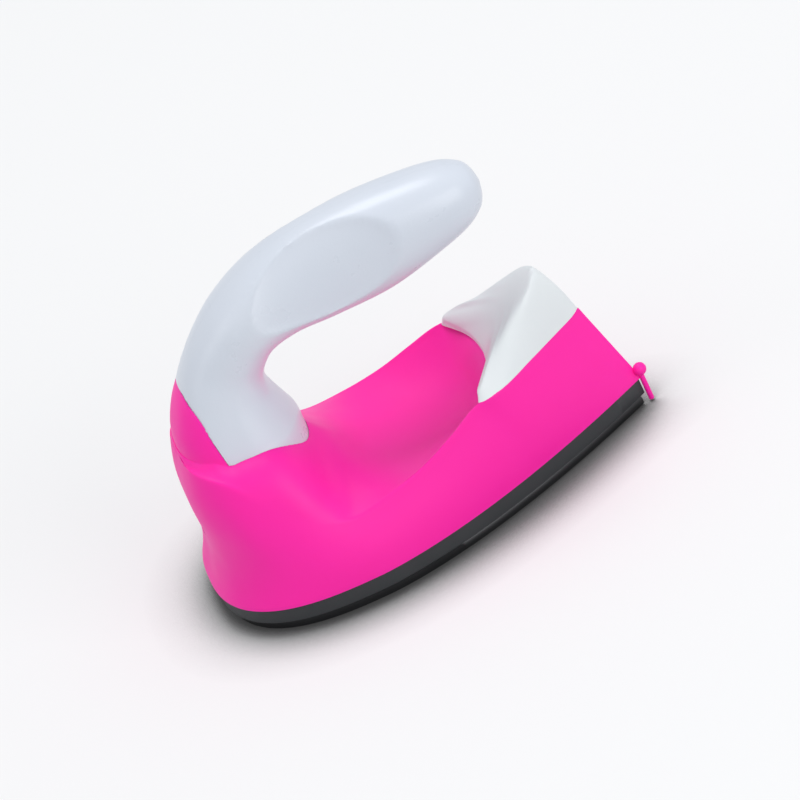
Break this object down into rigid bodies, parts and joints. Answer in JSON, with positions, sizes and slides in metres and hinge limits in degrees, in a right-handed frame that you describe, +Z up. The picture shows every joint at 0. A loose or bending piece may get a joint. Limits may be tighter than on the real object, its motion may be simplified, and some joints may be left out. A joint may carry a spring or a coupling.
{
  "type": "mini handheld heat press",
  "caption": "Small one-hand craft heat press with a pointed soleplate, moulded body, nose cover and C-shaped handle open to the front.",
  "frame": {"origin": "under the middle of the outline, on the plane that the soleplate rests on", "axes": "+X to the tip, +Y to the user's left, +Z up"},
  "size_m": [0.105, 0.0566, 0.0791],
  "materials": {
    "sole": "non-stick coated casting",
    "ring": "moulded heat-resisting resin",
    "body": "satin-gloss moulding",
    "nose": "satin moulding",
    "handle": "satin-gloss moulding",
    "ceramic": "fired, unglazed",
    "mica": "pressed mica sheet",
    "steel": "zinc plated",
    "brass": "plain",
    "rubber": "moulded",
    "sleeve": "varnished glass-fibre braid",
    "brown_lead": "silicone insulation",
    "blue_lead": "silicone insulation"
  },
  "bodies": {
    "iron": {"soleplate": "sole", "insulation_ring": "ring", "body_shell": "body", "nose_cover": "nose", "handle_left": "handle", "handle_right": "handle", "ptc_heater": "ceramic", "heater_mica": "mica", "heater_clamp": "steel", "heater_screw_1": "steel", "heater_screw_2": "steel", "heat_shield": "steel", "body_screw_front": "steel", "body_screw_rear": "steel", "foot_screw_left": "steel", "foot_screw_right": "steel", "nose_screw": "steel", "handle_screw_1": "steel", "handle_screw_2": "steel", "handle_screw_3": "steel", "inlet_bush": "rubber", "cord_clamp": "steel", "cord_clamp_screw_1": "steel", "cord_clamp_screw_2": "steel", "terminal_block": "ceramic", "terminal_screw_1": "brass", "terminal_screw_2": "brass", "thermal_fuse": "steel", "fuse_sleeve": "sleeve", "fuse_clip": "steel", "cutout_case": "ceramic", "cutout_contact": "brass", "wire_live": "brown_lead", "wire_heater": "brown_lead", "wire_neutral": "blue_lead", "wire_return": "blue_lead"},
    "cutout_arm": {"cutout_blade": "brass"}
  },
  "joints": [
    {"name": "cutout_pivot", "type": "hinge", "parent": "iron", "child": "cutout_arm", "pos_m": [-0.0375, 0, 0.011], "axis": [0, -1, 0], "range_deg": [0, 4], "stiffness_Nm_per_rad": 0.002}
  ]
}
